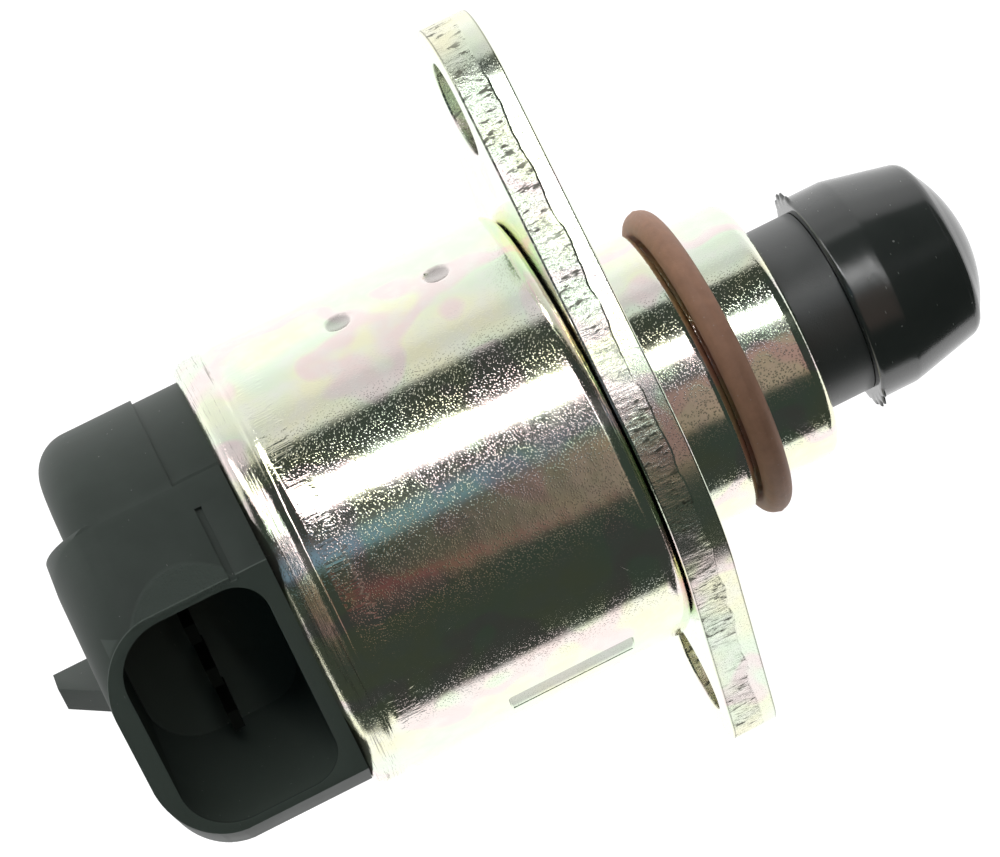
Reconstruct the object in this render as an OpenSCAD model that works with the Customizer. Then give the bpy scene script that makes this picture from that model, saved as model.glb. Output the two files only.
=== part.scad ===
// Idle air control valve: a stepper motor in a steel can moves a pintle in and out of the air bypass.
// X runs along the valve from the connector end to the pintle, and x = 0 is the front face of the flange.
// Z points the way the connector opens, and Y runs along the ears of the flange.

/* [Can] */
// Outside diameter of the steel can
can_d = 33.6; // [32.6:0.2:36]
// Length of the can, from its rear edge to the back of the flange
can_len = 25.6; // [25:0.2:30]
// Sheet thickness of the can
can_wall = 1; // [0.8:0.1:1.2]
// Rounding of the can's rear edge
can_rim_round = 1.1; // [0.5:0.1:1.3]
// Rounding of the can's front shoulder
can_shoulder = 1.3; // [0.8:0.1:1.6]
// Distance from the can's front to the middle of the lanced slot
lance_from_front = 9.8; // [8:0.2:12]
// Distance from the can's front to the first stake dimple
dimple_from_front = 6.4; // [5:0.2:8]
// Length of the lanced slot in the can's side
lance_len = 9.8; // [6:0.2:12]
// Width of the lanced slot
lance_w = 0.8; // [0.6:0.1:1.6]
// Distance between the two stake dimples
dimple_gap = 7.7; // [5:0.1:9]

/* [Flange] */
// Thickness of the flange plate
flange_t = 3.6; // [3:0.1:4.6]
// Diameter of the rounded ends of the ears
ear_d = 12; // [11:0.2:14]
// Distance from the valve axis to the upper bolt hole
upper_hole = 26; // [25:0.2:30]
// Distance from the valve axis to the lower bolt hole
lower_hole = 22.5; // [22:0.1:27]
// Diameter of the bolt holes
bolt_hole_d = 7; // [6:0.1:7.4]

/* [Nose sleeve] */
// Diameter of the collar behind the sealing ring
collar_d = 22.1; // [21.8:0.1:23.4]
// Length of the collar
collar_len = 4.7; // [4:0.1:5.4]
// Diameter of the sleeve in front of the collar
sleeve_d = 20.2; // [20:0.1:21]
// Distance from the flange to the front end of the sleeve
sleeve_len = 11.7; // [11.2:0.1:12.4]
// Diameter of the spigot that passes through the flange and the can
spigot_d = 18.5; // [18.2:0.1:19]
// Rounding of the sleeve's front edge
sleeve_round = 0.9; // [0.5:0.1:1.1]
// Thickness of the sealing ring's cord
seal_cord = 2.15; // [1.9:0.05:2.4]

/* [Pintle] */
// Diameter of the plunger
plunger_d = 14.2; // [13.6:0.1:14.6]
// How far the plunger stands out of the sleeve at rest
plunger_out = 4.3; // [4.3:0.1:6]
// Largest diameter of the pintle's head
head_d = 16.2; // [15.8:0.2:18]
// Length of the straight stretch at the back of the head
head_straight = 3.15; // [1.5:0.05:4]
// Diameter of the head at the front end of its taper
head_front_d = 13.4; // [12.6:0.2:14]
// Length of the head from its back to the front end of its taper
head_taper_end = 9.2; // [8.6:0.1:10]
// Length of the head from its back to the tip of its dome
head_len = 11; // [10.8:0.1:12.4]
// Radius of the dome at the front of the head
dome_r = 10.8; // [10:0.1:14]
// Length of the plunger's tang inside the head
tang_len = 4.5; // [3.5:0.1:5]
// Length of the guide that keeps the lead screw from turning
guide_len = 5.4; // [4.4:0.1:6]
// Diameter of the lead screw
screw_d = 4; // [3.6:0.1:4.4]
// Distance across the two flats of the lead screw
screw_flats = 3; // [2.8:0.1:3.2]
// How far the pintle draws in from rest
travel_in = 4; // [3:0.1:4]
// How far the pintle runs out from rest
travel_out = 3; // [2:0.1:3]

/* [Rear cover and connector] */
// How far the round cover lies inside the can's outside, all round
cover_inset = 0.9; // [0.7:0.1:1.6]
// Length of the round part of the cover behind the can
cover_len = 11.9; // [11:0.1:13]
// Rounding of the cover's rear edge
cover_round = 3; // [2:0.1:4]
// Length of the collar between the round cover and the can
cover_collar = 3.5; // [2.4:0.1:4.5]
// How far the connector block stands behind the can
block_len = 13.9; // [13.4:0.1:15.5]
// How far the sloped sides of the connector block stand proud of the round cover
block_proud = 0.2; // [0.1:0.1:0.5]
// Rounding of the connector block's rear edges and corners
block_round = 5; // [3.6:0.1:5.6]
// How far the flat sides of the connector block lie inside the round cover
block_inset = 2.1; // [1.5:0.1:2.7]
// Bevel along the edges of the connector block
block_bevel = 0.5; // [0.2:0.1:0.8]
// Depth of the connector's mouth below the can's outside
mouth_drop = 1.6; // [1.2:0.1:2]
// Distance from the valve axis to the mouth's upper edge, towards the upper ear
mouth_up = 8.7; // [8.6:0.1:9.2]
// Distance from the valve axis to the mouth's lower edge, towards the lower ear
mouth_down = 9.1; // [8.8:0.1:9.4]
// Wall at the upper and lower edges of the mouth
mouth_wall = 0.6; // [0.5:0.1:1]
// Wall between the cavity and the block's rear face
back_wall = 1.5; // [1.3:0.1:2]
// Wall between the cavity and the can's edge
web_wall = 1.2; // [0.8:0.1:1.8]
// Depth of the connector's cavity
cavity_depth = 14.2; // [13:0.1:15]
// Corner rounding of the cavity at the rear
cavity_rear_corner = 4; // [3.2:0.1:4.4]
// Corner rounding of the cavity at the can
cavity_front_corner = 2.6; // [1.5:0.1:3.4]
// Width of the shallow groove across the block's upper slope
slope_groove_w = 0.5; // [0.4:0.1:0.8]
// How far the lock wedge stands out of the rear face
lock_h = 3.2; // [2.6:0.1:4]
// Width of the lock wedge
lock_w = 1.8; // [1.4:0.1:4]
// Length of the lock wedge along the way the plug goes on
lock_len = 6.4; // [5:0.1:7]

/* [Terminals] */
// Distance from one terminal blade to the next
blade_pitch = 3.75; // [3.4:0.05:3.9]
// Width of a terminal blade
blade_w = 1.5; // [1.2:0.1:1.8]
// Depth of the terminals' turn below the valve axis
blade_turn = 9.4; // [8.8:0.1:10.5]
// Thickness of a terminal blade
blade_t = 0.8; // [0.6:0.1:0.8]
// Height of the blades over the cavity's floor
blade_h = 5.5; // [4:0.1:8]

/* [Motor] */
// Length of one coil former
bobbin_len = 7.6; // [7:0.1:8]
// Thickness of a pole plate
pole_t = 0.9; // [0.7:0.1:1]
// Claws on each pole plate
claws = 6; // [5:1:7]
// Air gap between the magnet and the ring of claws
air_gap = 0.4; // [0.3:0.05:0.7]
// Thickness of a claw
claw_t = 0.8; // [0.6:0.1:0.9]
// Diameter of the rotor's magnet
magnet_d = 16.4; // [15.8:0.1:16.6]
// Wall of the rotor's magnet
magnet_wall = 2.6; // [2:0.1:3.2]
// Gap between the copper windings and the inside of the can
winding_gap = 1.6; // [1.2:0.1:3]

/* [Bearings] */
// Outside diameter of the ball bearing
bearing_d = 15.2; // [14.8:0.1:15.6]
// Width of the ball bearing
bearing_w = 3.8; // [3.4:0.1:3.8]
// Diameter of the bearing balls
ball_d = 1.9; // [1.7:0.05:2]
// Number of bearing balls
balls = 8; // [6:1:9]
// Diameter of the rotor's front journal
journal_d = 6; // [5.8:0.1:6.2]
// Diameter of the rotor's rear journal
rear_journal_d = 5; // [4.6:0.1:5.4]
// Outside diameter of the rear bush
bush_d = 8.4; // [8:0.1:9]

/* [Hidden] */
$fn = 96;

// Radial play of a turning or sliding fit
play = 0.06;
// Radial play of a piece that is pressed or seated in another
seat = 0.02;
// Small overlap that joins two shapes of one piece
join = 0.05;
// How far the ends of a tangent edge lie inside the circle they join, so that the edge crosses it
tuck = 0.01;

can_r = can_d / 2;
can_in = can_r - can_wall;
flange_back = -flange_t;
can_front = flange_back;
can_rear = can_front - can_len;
cover_r = can_r - cover_inset;
cover_rear = can_rear - cover_len;
block_rear = can_rear - block_len;
block_r = cover_r + block_proud;
block_half = cover_r - block_inset;
mouth_z = can_r - mouth_drop;
floor_z = mouth_z - cavity_depth;

spigot_r = spigot_d / 2;
lip_t = 0.6;
lip_r = spigot_r + 0.8;
crimp_t = 0.9;
crimp_in = can_in - 0.75;
spigot_end = can_front - can_wall - lip_t;
sleeve_r = sleeve_d / 2;
collar_r = collar_d / 2;
seal_gap = 0.15;
seal_groove_r = sleeve_r - 0.2;
seal_groove_end = collar_len + seal_cord + 2 * seal_gap;

plunger_r = plunger_d / 2;
plunger_bore = plunger_r + play;
front_lip = 1.8;
chamber_r = plunger_r + 1.6;
chamber_front = sleeve_len - front_lip;
web_front = -0.2;
web_t = 1;
bearing_front = web_front - web_t;
bearing_rear = bearing_front - bearing_w;
bearing_r = bearing_d / 2;
journal_r = journal_d / 2;
ball_r = ball_d / 2;
ball_ring = (bearing_r + journal_r) / 2;
ball_x = bearing_front - bearing_w / 2;

head_back = sleeve_len + plunger_out;
head_r = head_d / 2;
guide_t = 1.6;
guide_front = web_front + guide_t;
guide_boss_r = plunger_r - 1.8;
guide_boss_end = guide_front + guide_len;
plunger_rear = guide_front + travel_in + 0.3;
skirt_in = plunger_r - 1.4;
plunger_web = guide_boss_end + travel_in + 1.5;
plunger_tang_r = 4.5;
plunger_tang_end = head_back + tang_len;
screw_r = screw_d / 2;
screw_front = head_back + 1;

stator_front = can_front - can_wall - 1.4;
stack = 2 * pole_t + bobbin_len;
stator_gap = 0.2;
magnet_r = magnet_d / 2;
hub_r = magnet_r - magnet_wall;
claw_r = magnet_r + air_gap + claw_t;
claw_len = bobbin_len - 0.8;
bobbin_wall = 1;
bobbin_core_r = claw_r + 0.1;
winding_r = can_in - winding_gap;
magnet_front = stator_front - pole_t - 0.6;
magnet_rear = stator_front - 2 * stack - stator_gap + pole_t + 0.6;

plug_r = can_in - 0.1;
plug_rear = can_rear + crimp_t;
plug_front = stator_front - 2 * stack - stator_gap - 0.9;
cover_cord = 1.2;
groove_depth = cover_cord - 0.05;
groove_w = cover_cord + 0.3;
groove_x = (plug_front + plug_rear) / 2;

nut_front = magnet_front - 0.8;
nut_len = 5;
nut_r = 4;
screw_rear = nut_front - nut_len - travel_out - 0.5;
flats_rear = guide_front - guide_t - travel_out - 0.4;
hub_bore_end = screw_rear - travel_in - 0.7;
hub_rear = magnet_rear - 0.6;
bush_front = hub_rear - 0.8;
bush_len = 2.2;
bush_r = bush_d / 2;
rear_journal_r = rear_journal_d / 2;
journal_end = bush_front - bush_len + 0.3;

cavity_rear = block_rear + back_wall;
cavity_front = can_rear - web_wall;
leg_z = -blade_turn;
blade_x = (cavity_rear + cavity_front) / 2;
leg_end = plug_front + 0.4;

// A shape turned about the valve axis, from its outline of radius and place along X
module turned() {
    rotate([0, 90, 0])
        rotate_extrude()
            children();
}

// A ring section between two radii and two places along X
module band(r1, r2, x1, x2) {
    translate([r1, x1])
        square([r2 - r1, x2 - x1]);
}

// The waste outside a rounded corner: side is 1 where the corner points to +X and -1 where it points to -X
module corner_waste(r, x, round_r, side) {
    over = 0.5;
    difference() {
        translate([r - round_r, side > 0 ? x - round_r : x - over])
            square([round_r + over, round_r + over]);
        translate([r - round_r, x - side * round_r])
            circle(round_r);
    }
}

// A flat outline in Y and Z, drawn out along X
module drawn_x(x1, x2) {
    translate([x1, 0, 0])
        rotate([90, 0, 90])
            linear_extrude(x2 - x1)
                children();
}

// A rod along X
module rod(r, x1, x2) {
    translate([x1, 0, 0])
        rotate([0, 90, 0])
            cylinder(r = r, h = x2 - x1);
}

module motor_can() {
    // The shallow groove in front of the rolled rear rim
    rim_groove = 0.15;
    rim_w = 2.4;
    // A slot with round ends along the side, pressed in at this angle from Z
    lance_angle = 42;
    lance_depth = 0.45;
    lance_x = can_front - lance_from_front;
    dimple_angle = -87;
    dimple_r = 1.1;
    dimple_x = can_front - dimple_from_front;
    color("lightgray")
        difference() {
            turned()
                difference() {
                    union() {
                        band(can_in, can_r, can_rear, can_front);
                        band(spigot_r + seat, can_r, can_front - can_wall, can_front);
                        band(crimp_in, can_r, can_rear, plug_rear);
                    }
                    band(can_r - rim_groove, can_r + 1, can_rear + rim_w, can_rear + rim_w + 0.5);
                    corner_waste(can_r, can_front, can_shoulder, 1);
                    corner_waste(can_r, can_rear, can_rim_round, -1);
                }
            rotate([lance_angle, 0, 0])
                translate([lance_x, 0, can_r - lance_depth])
                    linear_extrude(can_wall) {
                        square([lance_len - lance_w, lance_w], center = true);
                        for (end = [-1, 1])
                            translate([end * (lance_len - lance_w) / 2, 0])
                                circle(d = lance_w, $fn = 32);
                    }
            rotate([dimple_angle, 0, 0])
                for (n = [0, 1])
                    translate([dimple_x - n * dimple_gap, 0, can_r + dimple_r * 0.55])
                        sphere(dimple_r, $fn = 32);
        }
}

// The flange's outline: a round middle and two ears, joined by their common tangents
module ear_web(dist) {
    hub_edge = can_r - tuck;
    ear_edge = ear_d / 2 - tuck;
    a = acos((hub_edge - ear_edge) / abs(dist));
    way = sign(dist);
    polygon([[way * hub_edge * cos(a), hub_edge * sin(a)], [dist + way * ear_edge * cos(a), ear_edge * sin(a)],
        [dist + way * ear_edge * cos(a), -ear_edge * sin(a)], [way * hub_edge * cos(a), -hub_edge * sin(a)]]);
}

module flange_plate() {
    ears = [upper_hole, -lower_hole];
    color("silver")
        difference() {
            union() {
                rod(can_r, flange_back, 0);
                for (dist = ears)
                    drawn_x(flange_back, 0)
                        ear_web(dist);
                for (dist = ears)
                    translate([0, dist, 0])
                        rod(ear_d / 2, flange_back, 0);
            }
            rod(collar_r + seat, flange_back - 1, 1);
            for (dist = ears)
                translate([0, dist, 0])
                    rod(bolt_hole_d / 2, flange_back - 1, 1);
        }
}

module nose_sleeve() {
    collar_round = 0.8;
    color("gainsboro")
        turned()
            difference() {
                union() {
                    band(plunger_bore, spigot_r, spigot_end, flange_back + join);
                    band(plunger_bore, lip_r, spigot_end, spigot_end + lip_t);
                    band(plunger_bore, collar_r, flange_back, collar_len);
                    band(plunger_bore, seal_groove_r, collar_len - join, seal_groove_end + join);
                    band(plunger_bore, sleeve_r, seal_groove_end, sleeve_len);
                }
                band(0, chamber_r, web_front, chamber_front);
                band(0, bearing_r, spigot_end - 1, bearing_front);
                corner_waste(collar_r, collar_len, collar_round, 1);
                corner_waste(sleeve_r, sleeve_len, sleeve_round, 1);
            }
    web_in = bearing_r - 1.3;
    color("gainsboro")
        turned()
            band(web_in, plunger_bore + join, web_front - web_t, web_front);
}

module o_ring() {
    ring_r = seal_groove_r + seal_cord / 2 + seat;
    color("saddlebrown")
        turned()
            translate([ring_r, collar_len + seal_cord / 2 + seal_gap])
                circle(d = seal_cord, $fn = 48);
}

// How far the tangent from a mouth edge at this distance touches the block's circle, as an angle from Z
function slope_angle(reach) = atan(reach / mouth_z) + acos(block_r / norm([reach, mouth_z]));

// The connector block's outline in Y and Z: a circle and its tangents from the mouth, with slanted lower sides
module block_section() {
    low = -1;
    low_half = 0.55 * block_half;
    ridge_z = sqrt(block_r * block_r - block_half * block_half);
    up = slope_angle(mouth_up);
    down = slope_angle(mouth_down);
    intersection() {
        union() {
            circle(block_r);
            polygon([[0, 0], [(block_r - tuck) * sin(up), (block_r - tuck) * cos(up)], [mouth_up, mouth_z],
                [-mouth_down, mouth_z], [-(block_r - tuck) * sin(down), (block_r - tuck) * cos(down)]]);
        }
        difference() {
            polygon([[-low_half, low], [low_half, low], [block_half, ridge_z], [block_half, mouth_z],
                [-block_half, mouth_z], [-block_half, ridge_z]]);
            for (side = [1, -1])
                translate([side * block_half, ridge_z])
                    circle(block_bevel, $fn = 4);
        }
    }
}

// A rectangle in X and Y with rounded corners at its rear and others at its front
module plan_outline(x1, x2, y1, y2, rear_r, front_r) {
    corners = [[x1, y1, 1, 1, rear_r], [x1, y2, 1, -1, rear_r], [x2, y1, -1, 1, front_r], [x2, y2, -1, -1, front_r]];
    difference() {
        translate([x1, y1])
            square([x2 - x1, y2 - y1]);
        for (c = corners)
            if (c[4] > 0)
                difference() {
                    translate([c[0] - (c[2] > 0 ? 1 : c[4]), c[1] - (c[3] > 0 ? 1 : c[4])])
                        square(c[4] + 1);
                    translate([c[0] + c[2] * c[4], c[1] + c[3] * c[4]])
                        circle(c[4]);
                }
    }
}

// A blade in the cavity with the leg that runs to the coils, with this much room all round
module terminal_way(n, room) {
    y = (n - 2.5) * blade_pitch;
    half_w = blade_w / 2 + room;
    half_t = blade_t / 2 + room;
    translate([blade_x - half_t, y - half_w, leg_z - half_t])
        cube([2 * half_t, 2 * half_w, floor_z + blade_h - leg_z + half_t]);
    translate([blade_x - half_t, y - half_w, leg_z - half_t])
        cube([leg_end - blade_x + half_t, 2 * half_w, 2 * half_t]);
}

module rear_cover() {
    boss_r = bush_r + 1.4;
    collar_drop = 0.3;
    mark_depth = 0.3;
    mark_x = can_rear - 2.6;
    lock_z = 0.2;
    lock_tip_h = 2.4;
    lock_tip = block_rear - lock_h;
    color([0.1, 0.1, 0.1])
        difference() {
            union() {
                // The round cover, cut flat at the height of the mouth
                intersection() {
                    turned()
                        difference() {
                            union() {
                                band(0, cover_r, cover_rear, can_rear - cover_collar);
                                band(0, cover_r - collar_drop, cover_rear + cover_round, can_rear);
                            }
                            corner_waste(cover_r, cover_rear, cover_round, -1);
                        }
                    drawn_x(cover_rear - 1, can_rear + 1)
                        translate([-2 * can_r, -2 * can_r])
                            square([4 * can_r, 2 * can_r + mouth_z]);
                }
                // The connector block, rounded at its rear corners and along the rear edges of its slopes
                difference() {
                    intersection() {
                        drawn_x(block_rear, can_rear)
                            block_section();
                        translate([0, 0, -can_r])
                            linear_extrude(2 * can_r)
                                plan_outline(block_rear, can_rear, -block_half, block_half, block_round, 0);
                    }
                    for (turn = [-slope_angle(mouth_up), slope_angle(mouth_down)])
                        rotate([turn, 0, 0])
                            rotate([90, 0, 0])
                                linear_extrude(3 * can_r, center = true)
                                    mirror([1, -1, 0])
                                        corner_waste(block_r + tuck, block_rear - tuck, block_round, -1);
                }
                // The plug inside the can, behind the can's crimped rim, and the boss of the rear bush
                turned() {
                    band(0, crimp_in - seat, can_rear - join, plug_rear + join);
                    band(0, plug_r, plug_rear, plug_front);
                    band(0, boss_r, plug_front - join, bush_front);
                }
                // The lock wedge on the rear face
                rotate([90, 0, 0])
                    linear_extrude(lock_w, center = true)
                        polygon([[block_rear + join, lock_z], [lock_tip, lock_z], [lock_tip, lock_z + lock_tip_h],
                            [block_rear + join, lock_z + lock_len]]);
            }
            // The cavity of the connector
            translate([0, 0, floor_z])
                linear_extrude(mouth_z)
                    plan_outline(cavity_rear, cavity_front, mouth_wall - mouth_down, mouth_up - mouth_wall,
                        cavity_rear_corner, cavity_front_corner);
            // The shallow groove across the upper slope
            rotate([-slope_angle(mouth_up), 0, 0])
                translate([mark_x - slope_groove_w / 2, -block_r, block_r - mark_depth])
                    cube([slope_groove_w, block_r - 1, 2]);
            // The groove of the cover's seal
            turned()
                band(plug_r - groove_depth, plug_r + 1, groove_x - groove_w / 2, groove_x + groove_w / 2);
            // The seat of the rear bush, with room behind the journal
            rod(bush_r + seat, bush_front - bush_len, bush_front + 1);
            rod(rear_journal_r + 0.4, bush_front - bush_len - 0.8, bush_front);
            for (n = [1:4])
                terminal_way(n, seat);
        }
}

module cover_seal() {
    color([0.15, 0.13, 0.12])
        turned()
            translate([can_in - cover_cord / 2 - seat, groove_x])
                circle(d = cover_cord, $fn = 32);
}

module terminal(n) {
    color("goldenrod")
        terminal_way(n, 0);
}

// The stator that starts at this place along X and runs back
function stator_x(rear) = stator_front - rear * (stack + stator_gap);

module bobbin(rear) {
    front = stator_x(rear) - pole_t;
    back = front - bobbin_len;
    color("ivory")
        turned() {
            band(bobbin_core_r, bobbin_core_r + bobbin_wall, back, front);
            band(bobbin_core_r, winding_r + 0.3, front - bobbin_wall, front);
            band(bobbin_core_r, winding_r + 0.3, back, back + bobbin_wall);
        }
}

module winding(rear) {
    front = stator_x(rear) - pole_t - bobbin_wall;
    color("peru")
        turned()
            band(bobbin_core_r + bobbin_wall, winding_r, front - bobbin_len + 2 * bobbin_wall, front);
}

// A pole plate with claws: way is -1 where the claws point back and 1 where they point forward
module pole(rear, way) {
    front = stator_x(rear);
    plate = way < 0 ? front - pole_t : front - stack;
    root = way < 0 ? plate + join : plate + pole_t - join;
    step = 360 / claws;
    base_w = 0.36 * 2 * PI * claw_r / claws;
    tip_w = base_w * 0.55;
    color("slategray") {
        turned()
            band(claw_r - claw_t, can_in - 0.1, plate, plate + pole_t);
        intersection() {
            turned()
                band(claw_r - claw_t, claw_r, min(root, root + way * claw_len), max(root, root + way * claw_len));
            for (n = [0:claws - 1])
                rotate([(n + (way < 0 ? 0 : 0.5)) * step, 0, 0])
                    linear_extrude(claw_r + 1)
                        polygon([[root, -base_w / 2], [root, base_w / 2],
                            [root + way * claw_len, tip_w / 2], [root + way * claw_len, -tip_w / 2]]);
        }
    }
}

// The track of the balls, cut out of both races
module ball_track() {
    translate([ball_ring, ball_x])
        circle(ball_r + play, $fn = 48);
}

module bearing_outer_race() {
    color("silver")
        turned()
            difference() {
                band(ball_ring + ball_r * 0.6, bearing_r - seat, bearing_rear, bearing_front);
                ball_track();
            }
}

module bearing_inner_race() {
    color("silver")
        turned()
            difference() {
                band(journal_r + seat, ball_ring - ball_r * 0.6, bearing_rear, bearing_front - 0.3);
                ball_track();
            }
}

module at_balls() {
    for (n = [0:balls - 1])
        rotate([n * 360 / balls, 0, 0])
            translate([ball_x, 0, ball_ring])
                children();
}

module bearing_cage() {
    color("darkgoldenrod")
        difference() {
            turned()
                band(ball_ring - ball_r * 0.3, ball_ring + ball_r * 0.3, ball_x - ball_r - 0.5, ball_x + ball_r + 0.3);
            at_balls()
                sphere(ball_r + play, $fn = 32);
        }
}

module bearing_balls() {
    color("whitesmoke")
        at_balls()
            sphere(ball_r, $fn = 32);
}

module rotor_magnet() {
    color([0.25, 0.25, 0.27])
        turned()
            band(hub_r + seat, magnet_r, magnet_rear, magnet_front);
}

module rotor_hub() {
    color("darkslategray")
        turned()
            difference() {
                union() {
                    band(0, hub_r, magnet_rear, magnet_front);
                    band(0, journal_r, magnet_front - join, bearing_front - 0.2);
                    band(0, journal_r + 1, magnet_front - join, bearing_rear - 0.1);
                    band(0, journal_r + 1, hub_rear, magnet_rear + join);
                    band(0, rear_journal_r, journal_end, hub_rear + join);
                }
                band(0, screw_r + 0.4, hub_bore_end, bearing_front);
                band(0, nut_r + seat, nut_front - nut_len, nut_front);
            }
}

module drive_nut() {
    color("gold")
        turned()
            band(screw_r + play, nut_r, nut_front - nut_len, nut_front);
}

module rear_bush() {
    color("sienna")
        turned()
            band(rear_journal_r + play, bush_r, bush_front - bush_len, bush_front);
}

// A dished spring washer between the bush and the hub's end
module spring_washer() {
    thick = 0.25;
    dish = 0.2;
    inner = rear_journal_r + 0.3;
    color("lightsteelblue")
        turned()
            polygon([[inner, bush_front + dish], [inner, bush_front + dish + thick],
                [bush_r, bush_front + thick + seat], [bush_r, bush_front + seat]]);
}

// The screw's section with its two flats, in Y and Z
module flats_section(r, across) {
    intersection() {
        circle(r);
        square([across, 4 * r], center = true);
    }
}

module screw_guide() {
    color("tan")
        difference() {
            union() {
                rod(chamber_r - seat, web_front, guide_front);
                rod(guide_boss_r, guide_front - join, guide_boss_end);
            }
            drawn_x(web_front - 1, guide_boss_end + 1)
                flats_section(screw_r + play, screw_flats + 2 * play);
        }
}

module lead_screw() {
    color("lightslategray") {
        rod(screw_r, screw_rear, flats_rear);
        drawn_x(flats_rear - join, screw_front)
            flats_section(screw_r, screw_flats);
    }
}

module pintle_plunger() {
    edge = 0.3;
    color([0.14, 0.14, 0.15])
        difference() {
            turned()
                difference() {
                    union() {
                        band(0, plunger_r, plunger_rear, head_back);
                        band(0, plunger_tang_r, head_back - join, plunger_tang_end);
                    }
                    band(0, skirt_in, plunger_rear - 1, plunger_web);
                    corner_waste(plunger_r, plunger_rear, edge, -1);
                }
            drawn_x(plunger_web - 1, screw_front)
                flats_section(screw_r + seat, screw_flats + 2 * seat);
        }
}

// Half the outline of the head: a straight stretch, a taper, a small rounding and a dome
module head_outline() {
    round_r = 0.9;
    taper_start = [head_r, head_back + head_straight];
    taper_end = [head_front_d / 2, head_back + head_taper_end];
    run = (taper_end - taper_start) / norm(taper_end - taper_start);
    outward = [run[1], -run[0]];
    tip = head_back + head_len;
    dome_c = [0, tip - dome_r];
    // The rounding's centre lies this far along the taper, where it touches both the taper and the dome
    from_dome = taper_start - round_r * outward - dome_c;
    half_b = from_dome * run;
    along = -half_b + sqrt(half_b * half_b - from_dome * from_dome + (dome_r - round_r) * (dome_r - round_r));
    round_c = taper_start - round_r * outward + along * run;
    on_taper = round_c + round_r * outward;
    on_dome = dome_c + (round_c - dome_c) * dome_r / (dome_r - round_r);
    polygon([[0, head_back], [head_r, head_back], taper_start, on_taper, round_c, on_dome, [0, on_dome[1]]]);
    translate(round_c)
        circle(round_r);
    intersection() {
        translate(dome_c)
            circle(dome_r);
        translate([0, on_dome[1] - join])
            square([on_dome[0], dome_r]);
    }
}

module pintle_head() {
    color([0.12, 0.12, 0.13])
        turned()
            difference() {
                head_outline();
                band(0, plunger_tang_r + seat, head_back - 1, plunger_tang_end + 0.2);
            }
}

motor_can();
flange_plate();
nose_sleeve();
o_ring();
rear_cover();
cover_seal();
terminal(1);  // terminal_1
terminal(2);  // terminal_2
terminal(3);  // terminal_3
terminal(4);  // terminal_4
bobbin(0);  // front_bobbin
bobbin(1);  // rear_bobbin
winding(0);  // front_winding
winding(1);  // rear_winding
pole(0, -1);  // front_outer_pole
pole(0, 1);  // front_inner_pole
pole(1, -1);  // rear_inner_pole
pole(1, 1);  // rear_outer_pole
bearing_outer_race();
bearing_inner_race();
bearing_cage();
bearing_balls();
rotor_magnet();
rotor_hub();
drive_nut();
rear_bush();
spring_washer();
screw_guide();
lead_screw();
pintle_plunger();
pintle_head();
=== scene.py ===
"""Dresses the idle air control valve: its surfaces, finer pieces, studio light and camera."""
import math

import bpy
from mathutils import Matrix, Vector


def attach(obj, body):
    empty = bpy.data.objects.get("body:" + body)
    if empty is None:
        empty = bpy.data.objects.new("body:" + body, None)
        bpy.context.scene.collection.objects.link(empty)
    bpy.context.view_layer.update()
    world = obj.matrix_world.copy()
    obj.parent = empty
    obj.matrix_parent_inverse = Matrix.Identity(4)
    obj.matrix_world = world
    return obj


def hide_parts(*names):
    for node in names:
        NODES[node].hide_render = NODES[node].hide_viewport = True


bl_info = {
    "name": "Idle air control valve",
    "version": (1, 0, 0),
    "blender": (4, 5, 0),
    "location": "3D View > Sidebar > Valve",
    "description": "Builds the finer pieces and finishes of an idle air control valve",
    "category": "Object",
}

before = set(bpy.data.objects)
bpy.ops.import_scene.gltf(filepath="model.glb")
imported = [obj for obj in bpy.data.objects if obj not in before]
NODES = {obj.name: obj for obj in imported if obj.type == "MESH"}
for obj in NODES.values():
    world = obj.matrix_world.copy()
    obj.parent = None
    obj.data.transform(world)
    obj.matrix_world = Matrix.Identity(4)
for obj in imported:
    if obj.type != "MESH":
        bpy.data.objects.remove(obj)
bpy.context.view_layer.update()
MM = 0.001
# The direction from the valve to the camera, and the way up in the picture, both square to the valve's axis
TO_CAMERA = Vector((0.0, 0.4337, 0.9011))
PICTURE_UP = Vector((0.0, 0.9011, -0.4337))
# Where the camera stands, where it looks and which way is up for it, as fitted to the photograph
CAMERA_PLACE = Vector((-0.0318, 0.1127, 0.2343))
CAMERA_TARGET = Vector((-0.00972, 0.00208, -0.001004))
CAMERA_UP = Vector((0.4465, 0.8063, -0.3880))
# The back face of the pintle's head and the tip of its dome, along X in millimetres
HEAD_BACK = 16.0
HEAD_TIP = 27.0


# Shader maths


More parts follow.
